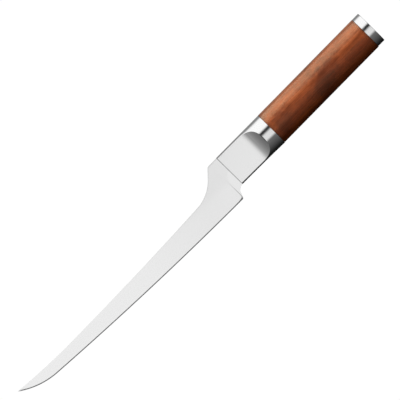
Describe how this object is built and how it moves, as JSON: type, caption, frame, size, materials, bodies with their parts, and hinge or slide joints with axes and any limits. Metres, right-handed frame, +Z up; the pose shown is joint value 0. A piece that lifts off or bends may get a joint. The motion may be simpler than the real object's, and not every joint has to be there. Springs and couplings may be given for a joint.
{
  "type": "fillet knife",
  "caption": "Long narrow fillet knife with an upswept blade, a stepped neck, a steel bolster with arched flats, an oval wooden handle and a steel end cap.",
  "frame": {"origin": "centre of the end cap's flat butt, on the handle's axis; Z = 0 is the middle of the blade's thickness", "axes": "the knife lies on its side: +X from the butt to the tip, +Y towards the cutting edge, +Z up, out of the blade's left side"},
  "size_m": [0.3503, 0.033, 0.018],
  "materials": {
    "blade_steel": "fine satin",
    "bolster_steel": "polished, with a fine satin on the flats",
    "handle_wood": "oiled, satin",
    "hardware_steel": "bare turned steel",
    "cured_adhesive": "cast"
  },
  "bodies": {
    "root": {"blade": "blade_steel", "bolster": "bolster_steel", "handle": "handle_wood", "end_cap": "bolster_steel", "tang_rod": "hardware_steel", "clamp_washer": "hardware_steel", "clamp_nut": "hardware_steel", "tang_bedding": "cured_adhesive"}
  },
  "joints": []
}
